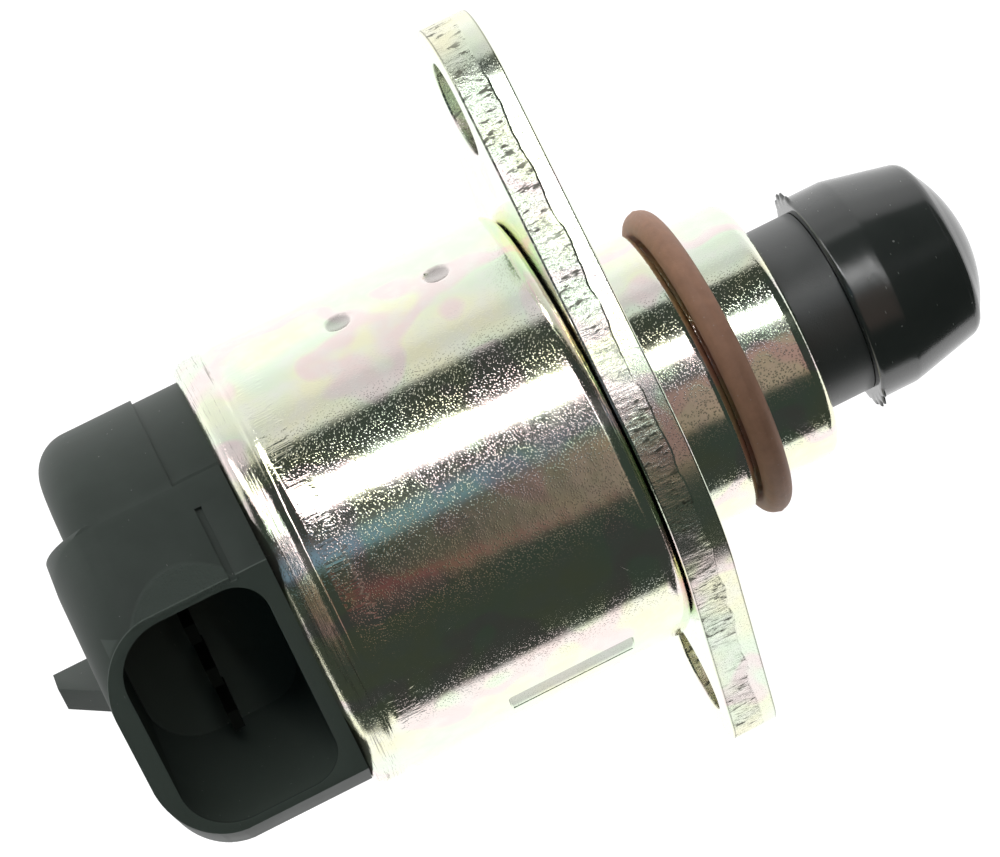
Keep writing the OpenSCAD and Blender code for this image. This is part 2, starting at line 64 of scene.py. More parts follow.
class Term:
    """One output of a node, which adds, multiplies and compares like a number."""

    def __init__(self, look, socket):
        self.look = look
        self.socket = socket

    def __add__(self, other):
        return self.look.maths("ADD", self, other)

    def __radd__(self, other):
        return self.look.maths("ADD", other, self)

    def __sub__(self, other):
        return self.look.maths("SUBTRACT", self, other)

    def __rsub__(self, other):
        return self.look.maths("SUBTRACT", other, self)

    def __mul__(self, other):
        return self.look.maths("MULTIPLY", self, other)

    def __rmul__(self, other):
        return self.look.maths("MULTIPLY", other, self)

    def __truediv__(self, other):
        return self.look.maths("DIVIDE", self, other)

    def __rtruediv__(self, other):
        return self.look.maths("DIVIDE", other, self)

    def __pow__(self, other):
        return self.look.maths("POWER", self, other)

    def __neg__(self):
        return self.look.maths("MULTIPLY", self, -1.0)

    def __abs__(self):
        return self.look.maths("ABSOLUTE", self)

    def at_most(self, other):
        return self.look.maths("MINIMUM", self, other)

    def at_least(self, other):
        return self.look.maths("MAXIMUM", self, other)

    def rise(self, low, high):
        """0 below low, 1 above high and a smooth slope between; low may be the larger."""
        return self.look.add("MapRange", {"interpolation_type": "SMOOTHSTEP"},
                             {"Value": self, "From Min": low, "From Max": high})

    def between(self, low, high, soft):
        """1 from low to high, falling to 0 over this width on both sides."""
        return self.rise(low - soft, low + soft) * self.rise(high + soft, high - soft)


class Look:
    """The node tree of one material, or of the world."""

    def __init__(self, owner):
        owner.use_nodes = True
        self.owner = owner
        self.tree = owner.node_tree
        self.tree.nodes.clear()

    def feed(self, socket, value):
        if isinstance(value, Term):
            self.tree.links.new(value.socket, socket)
        elif isinstance(value, (tuple, list, Vector)) and len(socket.default_value) == 4:
            socket.default_value = (*value, 1.0)
        else:
            socket.default_value = value

    def add(self, kind, settings=None, inputs=None, output=0):
        """One node of this kind with its settings, and its inputs by name or place."""
        node = self.tree.nodes.new("ShaderNode" + kind)
        for name, value in (settings or {}).items():
            setattr(node, name, value)
        for name, value in (inputs or {}).items():
            self.feed(node.inputs[name], value)
        return Term(self, node.outputs[output]) if node.outputs else node

    def maths(self, operation, *values):
        return self.add("Math", {"operation": operation}, dict(enumerate(values)))

    def mix(self, share, first, second):
        """A colour between two colours."""
        return self.add("Mix", {"data_type": "RGBA"}, {0: share, 6: first, 7: second}, 2)

    def scaled(self, vector, by):
        return self.add("VectorMath", {"operation": "MULTIPLY"}, {0: vector, 1: by})

    def dot(self, vector, other):
        return self.add("VectorMath", {"operation": "DOT_PRODUCT"}, {0: vector, 1: other}, "Value")

    def place(self):
        """The place on the piece in millimetres, in the valve's own frame."""
        return self.scaled(self.add("TexCoord", output="Object"), (1000.0,) * 3)

    def axes(self, vector):
        """The X, Y and Z parts of a vector."""
        split = self.add("SeparateXYZ", inputs={0: vector})
        outputs = split.socket.node.outputs
        return [Term(self, outputs[n]) for n in range(3)]

    def joined(self, x, y, z):
        return self.add("CombineXYZ", inputs={0: x, 1: y, 2: z})

    def noise(self, vector, scale, detail=2.0, rough=0.5):
        return self.add("TexNoise", inputs={"Vector": vector, "Scale": scale, "Detail": detail,
                                            "Roughness": rough})

    def cells(self, vector, scale):
        """The distance to the nearest of many scattered points."""
        return self.add("TexVoronoi", inputs={"Vector": vector, "Scale": scale})

    def bump(self, height, distance, strength=1.0, under=None):
        """A bump of height times distance, in millimetres, over the normal of another bump."""
        inputs = {"Height": height, "Distance": distance * MM, "Strength": strength}
        if under is not None:
            inputs["Normal"] = under
        return self.add("Bump", inputs=inputs)

    def surface(self, **inputs):
        """The finished surface, from inputs named as the shader's sockets with _ for a space."""
        named = {name.replace("_", " "): value for name, value in inputs.items()}
        shader = self.add("BsdfPrincipled", inputs=named)
        self.add("OutputMaterial", inputs={0: shader})
        return self.owner


def look(name):
    return Look(bpy.data.materials.new(name))


# Finishes


def around(mat, place):
    """The distance along the axis, the way round it and the distance from it, in millimetres."""
    x, y, z = mat.axes(place)
    out = mat.maths("SQRT", y * y + z * z)
    turn = mat.maths("ARCTAN2", y, z)
    return x, turn, out


def passivated(mat, place, turn, x):
    """The faint straw, green and pink tint of passivated zinc, drifting over the surface."""
    drift = mat.noise(place, 0.11, 2.0)
    bands = mat.maths("SINE", turn * 5.0 + drift * 14.0 + x * 0.05) * 0.5 + 0.5
    tint = mat.mix(bands, (0.95, 0.93, 0.68), (0.81, 0.92, 0.75))
    pink = mat.maths("SINE", turn * 7.0 - drift * 19.0 + 1.3).rise(0.45, 1.0)
    tint = mat.mix(pink * 0.75, tint, (0.92, 0.74, 0.77))
    return mat.mix(mat.noise(place, 0.6, 3.0).rise(0.35, 0.75) * 0.5, tint, (0.90, 0.90, 0.85))


def sparkle(mat, place, height=0.0038):
    """Scattered grains in mirror-smooth zinc: where they are, and the bump that they make."""
    grains = mat.cells(place, 6.4).rise(0.43, 0.12)
    return grains, mat.bump(grains, height)


def scratches(mat, along, around_it, slant, share):
    """Short straight scratches at this slant in degrees; a larger share makes more of them."""
    lean = math.radians(slant)
    length = along * math.cos(lean) + around_it * math.sin(lean)
    width = around_it * math.cos(lean) - along * math.sin(lean)
    lines = mat.noise(mat.joined(length * 0.45, width * 6.5, slant), 1.0, 1.0)
    return lines.rise(0.78 - share, 0.84 - share)


def zinc_plate(name, radius, rear=None):
    """Bright zinc plating with grains, scratches and haze, and tool marks by a rolled rim at rear."""
    mat = look(name)
    place = mat.place()
    x, turn, out = around(mat, place)
    tint = passivated(mat, place, turn, x)
    grains, normal = sparkle(mat, place)
    marks = scratches(mat, x, turn * radius, 28.0, 0.0) + scratches(mat, x, turn * radius, -55.0, 0.02)
    patch = mat.noise(place, 0.22, 2.0).rise(0.42, 0.6)
    marks = (marks * patch).at_most(1.0)
    haze = mat.noise(mat.scaled(place, (1.0, 0.6, 0.6)), 0.35, 4.0, 0.65).rise(0.5, 0.75)
    rough = 0.095 + grains * 0.1 + marks * 0.35 + haze * 0.06
    normal = mat.bump(mat.noise(place, 0.4, 2.0), 0.03, 0.5, normal)
    if rear is not None:
        # Fine teeth that the crimping tool left round the can, and the rubbed rim behind them
        teeth = mat.noise(mat.joined(x * 0.2, turn * 75.0, 0.0), 1.0, 1.0)
        ragged = mat.noise(mat.joined(0.0, turn * 45.0, 2.0), 1.0, 1.0) * 2.0
        band = (x - rear - ragged).between(2.5, 3.9, 0.2)
        normal = mat.bump(teeth * band, 0.014, 1.0, normal)
        rim = x.rise(rear + 2.6, rear + 2.2)
        worn = mat.noise(mat.joined(x * 7.0, turn * 2.5, out * 7.0), 1.0, 4.0, 0.65)
        normal = mat.bump(worn * rim, 0.02, 1.0, normal)
        stain = worn.rise(0.56, 0.66) * rim
        tint = mat.mix(stain * 0.7, tint, (0.24, 0.22, 0.18))
        rough = rough + rim * 0.04 + stain * 0.12
        # The torn metal in the slot and the stake dimples is duller, and its grey colour is partly the torn
        # metal's own and partly painted shade in these hollows
        sunk = out.rise(radius - 0.04, radius - 0.15) * x.between(rear + 4.0, -5.2, 0.2)
        tint = mat.mix(sunk * 0.6, tint, (0.36, 0.35, 0.34))
        rough = rough + sunk * 0.15
    return mat.surface(Base_Color=tint, Metallic=1.0, Roughness=rough, Normal=normal)


def sheared_edge(thick):
    """Zinc plating over the flange: burnished by the punch at the front and torn across behind it."""
    mat = look("flange_zinc")
    place = mat.place()
    x, y = mat.axes(place)[:2]
    tint = passivated(mat, place, y * 0.06, x)
    facing = mat.axes(mat.add("NewGeometry", output="True Normal"))[0]
    edge = abs(facing).rise(0.8, 0.4)
    grains, normal = sparkle(mat, place, 0.003)
    # The torn stretch ends at a wandering line, and comes and goes along the edge
    front = mat.noise(mat.scaled(place, (0.0, 0.25, 0.25)), 1.0, 3.0) * 1.2 - thick * 0.53
    torn = x.rise(front + 0.08, front - 0.08) * edge
    patch = mat.noise(mat.scaled(place, (0.2, 0.28, 0.28)), 1.0, 2.0).rise(0.34, 0.5) * 0.8 + 0.2
    folds = mat.noise(mat.scaled(place, (0.75, 2.3, 2.3)), 1.0, 4.0, 0.62)
    lines = mat.noise(mat.scaled(place, (0.5, 5.5, 5.5)), 1.0, 2.0, 0.6)
    cracks = abs(lines - 0.5).rise(0.012, 0.004) * folds.rise(0.42, 0.52)
    # The deepest folds and the cracks are painted dark: painted shade in the creases of the torn edge
    deep = (folds.rise(0.57, 0.62) + cracks).at_most(1.0) * torn * patch
    normal = mat.bump(folds * torn * patch, 0.08, 1.0, normal)
    normal = mat.bump(lines * edge * (0.03 + torn * patch), 0.015, 1.0, normal)
    # Both broken edges hold a dark line of painted shade
    rim_shade = edge * (x.rise(-0.22, -0.1) + x.rise(0.22 - thick, 0.1 - thick))
    tint = mat.mix((deep + rim_shade * 0.8).at_most(1.0) * 0.85, tint, (0.13, 0.13, 0.10))
    # The upper ear's edge is shaded as if it leaned towards the light, as bright as in the photograph
    up = mat.dot(place, PICTURE_UP).at_least(0.0)
    normal = mat.bump(-(up * up / (up + 3.0)) * edge, 0.135, 1.0, normal)
    rough = 0.09 + grains * 0.13 + torn * 0.06 + deep * 0.2 + edge * 0.1
    return mat.surface(Base_Color=tint, Metallic=1.0, Roughness=rough, Normal=normal)


def moulded(name, colour, rough, grain=1.0, shine=0.5):
    """Moulded plastic with a fine grain, flow clouds, pale nicks and dust."""
    mat = look(name)
    place = mat.place()
    cloud = mat.noise(place, 0.35, 3.0)
    fine = mat.noise(place, 9.0, 2.0, 0.6)
    tone = mat.mix(cloud, tuple(c * 0.8 for c in colour), tuple(c * 1.25 for c in colour))
    dots = mat.cells(place, 0.9)
    dust = dots.rise(0.09, 0.05) * mat.noise(place, 0.8, 1.0).rise(0.5, 0.6)
    slant = mat.joined(*[n * s for n, s in zip(mat.axes(place), (2.6, 0.5, 0.9))])
    nicks = mat.cells(slant, 0.8).rise(0.07, 0.03)
    marks = (dust + nicks).at_most(1.0)
    tone = mat.mix(marks * 0.7, tone, (0.35, 0.36, 0.34))
    normal = mat.bump(fine, 0.012 * grain)
    normal = mat.bump(cloud, 0.03, 0.5, normal)
    return mat.surface(Base_Color=tone, Roughness=rough + cloud * 0.12 - 0.06 + marks * 0.2,
                       Specular_IOR_Level=shine, Normal=normal)


def cover_plastic(dark):
    """The cover's black plastic, sandy round the mouth, with painted light on the mouth's face and inside
    it, nicks and dust.
    """
    mat = look("cover_plastic")
    place = mat.place()
    x, y, z = mat.axes(place)
    cloud = mat.noise(place, 0.3, 3.0)
    fine = mat.noise(place, 8.0, 2.0, 0.6)
    sand = mat.noise(place, 3.2, 3.0, 0.7)
    # The sandy crescent lies on the upper slope, against the mouth's edge
    sag = (x + 35.4) / 4.2
    reach = (1.0 - sag * sag) * 2.3
    near_mouth = (15.4 - z).rise(reach + 0.25, reach - 0.1) * y.rise(8.2, 8.6) * z.rise(12.0, 12.5)
    tone = mat.mix(cloud, tuple(c * 0.8 for c in dark), tuple(c * 1.3 for c in dark))
    tone = mat.mix(near_mouth * 0.5, tone, tuple(c * 1.8 for c in dark))
    # The sandy face round the mouth is paler, partly by its sand and partly as a painted highlight; the
    # walls inside the mouth are painted paler, a painted fill light in their shade
    face = z.rise(15.1, 15.16)
    inside = z.rise(15.1, 14.8) * z.rise(0.7, 0.9)
    inside = inside * y.between(-8.55, 8.15, 0.04) * x.between(-41.55, -30.35, 0.04)
    tone = mat.mix(face, tone, tuple(c * 2.3 for c in dark))
    tone = mat.mix(inside, tone, tuple(c * 1.6 for c in dark))
    slant = mat.joined(x * 2.2, y * 0.6, z * 0.9)
    nicks = mat.cells(slant, 0.7).rise(0.06, 0.03) * mat.noise(place, 0.7, 1.0).rise(0.45, 0.55)
    dust = mat.cells(place, 1.0).rise(0.07, 0.04) * mat.noise(place, 0.5, 1.0).rise(0.5, 0.6)
    marks = (nicks + dust).at_most(1.0)
    tone = mat.mix(marks * 0.6, tone, (0.3, 0.31, 0.29))
    height = fine * 0.03 + sand * (near_mouth * 0.5 + face * 0.07) + marks * 0.02
    normal = mat.bump(height, 0.25)
    rough = 0.46 + cloud * 0.14 + near_mouth * 0.2
    return mat.surface(Base_Color=tone, Roughness=rough, Specular_IOR_Level=0.2, Normal=normal)


def ring_rubber(brown):
    """Brown moulded rubber, matt with a pale bloom."""
    mat = look("ring_rubber")
    place = mat.place()
    bloom = mat.noise(place, 0.9, 4.0, 0.6)
    fine = mat.noise(place, 7.0, 3.0, 0.6)
    tone = mat.mix(bloom, tuple(c * 0.75 for c in brown), tuple(c * 1.3 for c in brown))
    tone = mat.mix(mat.cells(place, 1.6).rise(0.12, 0.05) * 0.5, tone, (0.62, 0.48, 0.42))
    normal = mat.bump(fine, 0.02)
    normal = mat.bump(bloom, 0.08, 0.6, normal)
    return mat.surface(Base_Color=tone, Roughness=0.46 + bloom * 0.2, Normal=normal)


def metal(name, colour, rough, lathe=True):
    """Bare metal with a slightly uneven tone and fine tool marks, round the axis or along it."""
    mat = look(name)
    place = mat.place()
    x, turn, out = around(mat, place)
    if lathe:
        way = mat.joined(x * 9.0, turn * 0.6, out * 9.0)
    else:
        way = mat.scaled(place, (1.5, 9.0, 9.0))
    marks = mat.noise(way, 1.0, 3.0)
    stain = mat.noise(place, 0.5, 3.0)
    tone = mat.mix(stain, tuple(c * 0.8 for c in colour), tuple(min(1.0, c * 1.1) for c in colour))
    return mat.surface(Base_Color=tone, Metallic=1.0, Roughness=rough + stain * 0.12,
                       Normal=mat.bump(marks, 0.012))


def copper_turns():
    """Enamelled copper wire, one turn beside the next."""
    mat = look("copper_turns")
    place = mat.place()
    x, turn, _ = around(mat, place)
    turns = mat.maths("SINE", x * 31.4 + turn * 0.5)
    stain = mat.noise(place, 0.8, 3.0)
    tone = mat.mix(stain, (0.42, 0.14, 0.05), (0.66, 0.27, 0.12))
    # The grooves between the turns are painted dark, a painted shade between the wires
    tone = mat.mix(turns.rise(0.0, -1.0) * 0.6, tone, (0.12, 0.04, 0.02))
    return mat.surface(Base_Color=tone, Metallic=0.85, Roughness=0.28 + stain * 0.1,
                       Normal=mat.bump(turns, 0.05))


# Ways of shaping a piece


def clear_choice():
    """Leaves nothing selected, in object mode."""
    if bpy.context.object and bpy.context.object.mode != "OBJECT":
        bpy.ops.object.mode_set(mode="OBJECT")
    bpy.ops.object.select_all(action="DESELECT")


def choose_only(piece):
    """Selects this piece alone and makes it the active one."""
    clear_choice()
    piece.select_set(True)
    bpy.context.view_layer.objects.active = piece


def arc(x, out, radius, first, last, steps):
    """Places along X and out from the axis, on an arc about (x, out) between two angles in degrees."""
    turns = [math.radians(first + (last - first) * n / steps) for n in range(steps + 1)]
    return [(x + radius * math.cos(t), out + radius * math.sin(t)) for t in turns]


def straight(first, last, step):
    """Evenly spaced places from the first to the last, both included."""
    count = max(1, round(math.dist(first, last) / step))
    return [(first[0] + (last[0] - first[0]) * n / count, first[1] + (last[1] - first[1]) * n / count)
            for n in range(count + 1)]


def turned(name, stations, sides, closed=True):
    """A round piece: a ring of edges extruded through stations of x and radius, in millimetres.

    A closed outline ends where it starts; any other gets a face at its first station.
    """
    places = [stations[0]]
    for place in stations[1:]:
        if math.dist(place, places[-1]) > 1e-4:
            places.append(place)
    clear_choice()
    x, out = places[0]
    bpy.ops.mesh.primitive_circle_add(vertices=sides, radius=out * MM, location=(x * MM, 0.0, 0.0),
                                      rotation=(0.0, math.pi / 2, 0.0))
    piece = bpy.context.object
    piece.name = name
    bpy.ops.object.transform_apply(location=True, rotation=True, scale=True)
    bpy.ops.object.mode_set(mode="EDIT")
    bpy.ops.mesh.select_all(action="SELECT")
    if not closed:
        bpy.ops.mesh.edge_face_add()
    for next_x, next_out in places[1:]:
        bpy.ops.mesh.extrude_region_move(TRANSFORM_OT_translate={"value": ((next_x - x) * MM, 0.0, 0.0)})
        bpy.ops.transform.resize(value=(1.0, next_out / out, next_out / out),
                                 center_override=(next_x * MM, 0.0, 0.0))
        x, out = next_x, next_out
    bpy.ops.mesh.select_all(action="SELECT")
    bpy.ops.mesh.remove_doubles(threshold=1e-7)
    bpy.ops.mesh.normals_make_consistent(inside=False)
    bpy.ops.object.mode_set(mode="OBJECT")
    return piece


def modify(piece, kind, **settings):
    """Adds a modifier to the piece and applies it."""
    choose_only(piece)
    modifier = piece.modifiers.new(kind.lower(), kind)
    for name, value in settings.items():
        setattr(modifier, name, value)
    bpy.ops.object.modifier_apply(modifier=modifier.name)


def cut(piece, *cutters):
    """Cuts each cutter out of the piece."""
    for cutter in cutters:
        modify(piece, "BOOLEAN", object=cutter, operation="DIFFERENCE", solver="EXACT")
        bpy.data.objects.remove(cutter)


def smooth(piece, degrees):
    """Shades the piece smooth, except at edges sharper than this angle."""
    choose_only(piece)
    bpy.ops.object.shade_smooth_by_angle(angle=math.radians(degrees))


def finish_piece(piece, material, body, *stands_for):
    """Gives a new piece its finish and ties it to its body in place of CAD nodes."""
    piece.data.materials.clear()
    piece.data.materials.append(material)
    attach(piece, body)
    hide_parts(*stands_for)


def choose(piece, wanted):
    """Puts the vertices that wanted accepts, by their place in millimetres, in a group of their own."""
    group = piece.vertex_groups.new(name="chosen")
    group.add([v.index for v in piece.data.vertices if wanted(v.co / MM)], 1.0, "REPLACE")
    return group.name


def roughen(piece, group, size, strength):
    """Displaces the piece's chosen vertices by clouds of this size and strength, in millimetres."""
    texture = bpy.data.textures.new("clouds", "CLOUDS")
    texture.noise_scale = size * MM
    modify(piece, "DISPLACE", texture=texture, texture_coords="LOCAL", vertex_group=group,
           strength=strength * MM, mid_level=0.5)


def dress(names, material):
    """Gives these CAD nodes the material."""
    for name in names:
        data = NODES[name].data
        data.materials.clear()
        data.materials.append(material)


# Sizes and colours that a user may change


def distance(name, description, millimetres):
    """A length that a user may change, from its default in millimetres."""
    return bpy.props.FloatProperty(name=name, description=description, default=millimetres * MM,
                                   precision=5, unit="LENGTH", subtype="DISTANCE")


def colour(name, description, default):
    return bpy.props.FloatVectorProperty(name=name, description=description, default=default,
                                         size=3, min=0.0, max=1.0, subtype="COLOR")


class ValveCan(bpy.types.PropertyGroup):
    """The plated can."""
    radius: distance("Radius", "Outside radius of the can", 16.8)
    length: distance("Length", "Length of the can", 25.6)
    rim_round: distance("Rim rounding", "Rounding of the rolled rear rim", 1.1)
    shoulder: distance("Shoulder", "Rounding of the front shoulder", 1.3)
    slot_length: distance("Slot length", "Length of the lanced slot", 9.8)


class ValveFlange(bpy.types.PropertyGroup):
    """The flange plate."""
    thickness: distance("Thickness", "Thickness of the plate", 3.6)
    ear: distance("Ear radius", "Radius of the rounded ends", 6.0)
    collar: distance("Collar bore", "Radius of the bore round the sleeve's collar", 11.07)
    upper: distance("Upper hole", "Distance from the axis to the upper bolt hole", 26.0)
    lower: distance("Lower hole", "Distance from the axis to the lower bolt hole", 22.5)
    hole: distance("Hole radius", "Radius of the bolt holes", 3.5)
    bevel: distance("Edge", "Width of the broken edge", 0.16)


def can_ends(scene):
    """Where the can begins at the flange and ends at the rear, along X in millimetres."""
    front = -scene.valve_flange.thickness / MM
    return front, front - scene.valve_can.length / MM


class ValveRing(bpy.types.PropertyGroup):
    """The sealing ring."""
    place: distance("Place", "Distance of the ring from the flange's front face", 5.925)
    reach: distance("Ring radius", "Distance from the axis to the middle of the cord", 11.06)
    cord: distance("Cord radius", "Radius of the cord", 1.06)
    rubber: colour("Rubber", "Colour of the rubber", (0.50, 0.27, 0.18))


class ValvePintle(bpy.types.PropertyGroup):
    """The pintle's head and plunger."""
    head: distance("Head radius", "Radius of the head's straight stretch", 8.1)
    plunger: distance("Plunger radius", "Radius of the plunger", 7.1)
    dome: distance("Dome radius", "Radius of the dome at the tip", 10.8)
    plastic: colour("Head", "Colour of the head's plastic", (0.042, 0.047, 0.045))
    stem: colour("Plunger", "Colour of the plunger's plastic", (0.065, 0.07, 0.069))


class ValveCover(bpy.types.PropertyGroup):
    """The moulded rear cover."""
    edge: distance("Edge", "Width of the softened edges", 0.22)
    plastic: colour("Plastic", "Colour of the cover's plastic", (0.058, 0.071, 0.062))


class ValveStage(bpy.types.PropertyGroup):
    """The floor, the light and the camera."""
    floor_drop: distance("Floor drop", "Distance of the floor below the valve's axis", 70.0)
    floor_glow: bpy.props.FloatProperty(
        name="Floor glow", description="How brightly the pale floor is lit", default=1.15)
    key: bpy.props.FloatProperty(
        name="Key light", description="Strength of the narrow light along the valve", default=6.0)
    light_strength: bpy.props.FloatProperty(
        name="Light strength", description="Strength of the long soft lights", default=1.0)
    lens: bpy.props.FloatProperty(
        name="Lens", description="Focal length of the camera", default=129.8, unit="CAMERA")


def head_plastic(scene):
    return moulded("pintle_plastic", scene.valve_pintle.plastic, 0.17, 0.3, shine=1.0)


def plunger_plastic(scene):
    return moulded("plunger_plastic", scene.valve_pintle.stem, 0.38, shine=1.0)


class VALVE_OT_finishes(bpy.types.Operator):
    """Gives every CAD piece its finish, also those that a finer piece stands for."""
    bl_idname = "valve.finishes"
    bl_label = "Finishes"

    def execute(self, context):
        scene = context.scene
        dress(["motor_can"], zinc_plate("can_zinc", scene.valve_can.radius / MM, can_ends(scene)[1]))
        dress(["nose_sleeve"], zinc_plate("sleeve_zinc", 10.1))
        dress(["flange_plate"], sheared_edge(scene.valve_flange.thickness / MM))
        dress(["o_ring"], ring_rubber(scene.valve_ring.rubber))
        dress(["rear_cover"], cover_plastic(scene.valve_cover.plastic))
        dress(["pintle_head"], head_plastic(scene))
        dress(["pintle_plunger"], plunger_plastic(scene))
        dress(["rotor_hub"], moulded("hub_plastic", (0.03, 0.03, 0.035), 0.5))
        dress(["front_bobbin", "rear_bobbin", "screw_guide"],
              moulded("pale_plastic", (0.55, 0.5, 0.4), 0.5))
        dress(["cover_seal"], moulded("seal_rubber", (0.02, 0.02, 0.02), 0.6))
        # The tin terminals are painted near black, a painted shade that hides them inside the cover's mouth
        dress(["terminal_1", "terminal_2", "terminal_3", "terminal_4"],
              metal("terminal_painted_shade", (0.04, 0.045, 0.04), 0.6, lathe=False))
        dress(["drive_nut", "rear_bush", "bearing_cage"], metal("brass", (0.76, 0.56, 0.26), 0.25))
        dress(["bearing_outer_race", "bearing_inner_race", "bearing_balls", "spring_washer", "lead_screw"],
              metal("bearing_steel", (0.7, 0.71, 0.73), 0.16))
        dress(["front_outer_pole", "front_inner_pole", "rear_inner_pole", "rear_outer_pole"],
              metal("pole_iron", (0.5, 0.51, 0.52), 0.35))
        dress(["rotor_magnet"], metal("magnet_ferrite", (0.12, 0.12, 0.13), 0.5))
        dress(["front_winding", "rear_winding"], copper_turns())
        return {"FINISHED"}


class VALVE_OT_can(bpy.types.Operator):
    """Shapes the plated can with its rolled rear rim, stake dimples and lanced slot."""
    bl_idname = "valve.can"
    bl_label = "Motor can"

    def execute(self, context):
        sizes = context.scene.valve_can
        front, rear = can_ends(context.scene)
        radius = sizes.radius / MM
        rim, shoulder = sizes.rim_round / MM, sizes.shoulder / MM
        # The wall, the lip that is rolled in over the cover, and the opening round the sleeve's spigot
        wall, lip, opening = 1.0, 1.75, 9.3
        outline = [(rear, radius - lip), (rear, radius - 1.4)]
        outline += arc(rear + rim, radius - rim, rim, 180.0, 90.0, 8)
        outline += straight((rear + rim, radius), (rear + 2.3, radius), 0.4)
        # The crimping tool's shallow groove in front of the rim
        outline += [(rear + 2.45, radius - 0.1), (rear + 2.6, radius - 0.16), (rear + 2.85, radius - 0.14),
                    (rear + 3.1, radius)]
        outline += straight((rear + 3.3, radius), (front - shoulder - 0.05, radius), 0.55)
        outline += arc(front - shoulder, radius - shoulder, shoulder, 90.0, 0.0, 10)
        outline += [(front, opening), (front - wall, opening), (front - wall, radius - wall),
                    (rear + 0.9, radius - wall), (rear + 0.9, radius - lip), (rear, radius - lip)]
        can = turned("can_shell", outline, 256)
        cut(can, *self.dimples(radius, front), self.slot(radius, front, sizes.slot_length / MM))
        edge = choose(can, lambda place: place.x < rear + 2.5 and place.yz.length > radius - 1.5)
        roughen(can, edge, 0.8, 0.07)
        smooth(can, 40.0)
        finish_piece(can, zinc_plate("can_zinc", radius, rear), "valve_body", "motor_can")
        return {"FINISHED"}

    def dimples(self, radius, front):
        """Ball cutters for the two stake dimples on the side of the upper ear."""
        cutters = []
        turn, ball, deep = math.radians(81.5), 2.2, 0.3
        out = (radius + ball - deep) * MM
        for x in (front - 6.1, front - 13.8):
            clear_choice()
            middle = (x * MM, math.sin(turn) * out, math.cos(turn) * out)
            bpy.ops.mesh.primitive_uv_sphere_add(segments=64, ring_count=32, radius=ball * MM,
                                                 location=middle)
            cutters.append(bpy.context.object)
        return cutters

    def slot(self, radius, front, slot_length):
        """A bar that cuts the lanced slot, level with the can at its lower edge, deep at its upper edge."""
        clear_choice()
        # The angles round the axis of the slot's lower edge and of the bar's own lean
        lower, lean = math.radians(46.0), math.radians(33.0)
        width, height = 2.5, 2.0
        normal = Vector((-math.sin(lean), math.cos(lean)))
        upward = Vector((math.cos(lean), math.sin(lean)))
        middle = radius * Vector((-math.sin(lower), math.cos(lower)))
        middle += upward * (width / 2) + normal * (height / 2)
        bpy.ops.mesh.primitive_cube_add(size=1.0, rotation=(lean, 0.0, 0.0),
                                        location=((front - 9.8) * MM, middle.x * MM, middle.y * MM),
                                        scale=(slot_length * MM, width * MM, height * MM))
        bar = bpy.context.object
        bpy.ops.object.transform_apply(location=False, rotation=False, scale=True)
        modify(bar, "BEVEL", width=0.3 * MM, segments=5, limit_method="NONE")
        return bar


class VALVE_OT_flange(bpy.types.Operator):
    """Builds the flange plate round its three centres, with its bores and broken edges."""
    bl_idname = "valve.flange"
    bl_label = "Flange plate"

    def execute(self, context):
        sizes = context.scene.valve_flange
        thick = sizes.thickness
        ends = [(0.0, context.scene.valve_can.radius, 160), (sizes.upper, sizes.ear, 80),
                (-sizes.lower, sizes.ear, 80)]
        parts = []
        for y, radius, sides in ends:
            clear_choice()
            bpy.ops.mesh.primitive_cylinder_add(
                vertices=sides, radius=radius, depth=thick,
                location=(-thick / 2, y, 0.0), rotation=(0.0, math.pi / 2, 0.0))
            parts.append(bpy.context.object)
        for part in parts:
            part.select_set(True)
        bpy.ops.object.join()
        plate = bpy.context.object
        plate.name = "flange_sheet"
        bpy.ops.object.transform_apply(location=True, rotation=True, scale=True)
        bpy.ops.object.mode_set(mode="EDIT")
        bpy.ops.mesh.select_all(action="SELECT")
        bpy.ops.mesh.convex_hull()
        bpy.ops.mesh.dissolve_limited(angle_limit=math.radians(0.5))
        bpy.ops.object.mode_set(mode="OBJECT")
        cut(plate, self.bore(0.0, sizes.collar, thick), self.bore(sizes.upper, sizes.hole, thick),
            self.bore(-sizes.lower, sizes.hole, thick))
        modify(plate, "BEVEL", width=sizes.bevel, segments=3, limit_method="ANGLE",
               angle_limit=math.radians(50.0))
        smooth(plate, 12.0)
        finish_piece(plate, sheared_edge(thick / MM), "valve_body", "flange_plate")
        return {"FINISHED"}

    def bore(self, y, radius, thick):
        """A cutter for a round hole through the plate, at this distance from the axis."""
        clear_choice()
        bpy.ops.mesh.primitive_cylinder_add(vertices=96, radius=radius, depth=3 * thick,
                                            location=(0.0, y, 0.0), rotation=(0.0, math.pi / 2, 0.0))
        return bpy.context.object


class VALVE_OT_ring(bpy.types.Operator):
    """Shapes the rubber sealing ring with its fine parting ridge."""
    bl_idname = "valve.ring"
    bl_label = "Sealing ring"

    def execute(self, context):
        sizes = context.scene.valve_ring
        x, out, cord = sizes.place / MM, sizes.reach / MM, sizes.cord / MM
        outline = []
        steps = 40
        for n in range(steps + 1):
            turn = math.tau * n / steps
            # The two halves of the mould met at the ring's outer and inner edge
            ridge = 0.05 if n in (steps // 4, 3 * steps // 4) else 0.0
            outline.append((x + (cord + ridge) * math.cos(turn), out + (cord + ridge) * math.sin(turn)))
        ring = turned("sealing_ring", outline, 192)
        smooth(ring, 60.0)
        finish_piece(ring, ring_rubber(sizes.rubber), "valve_body", "o_ring")
        return {"FINISHED"}


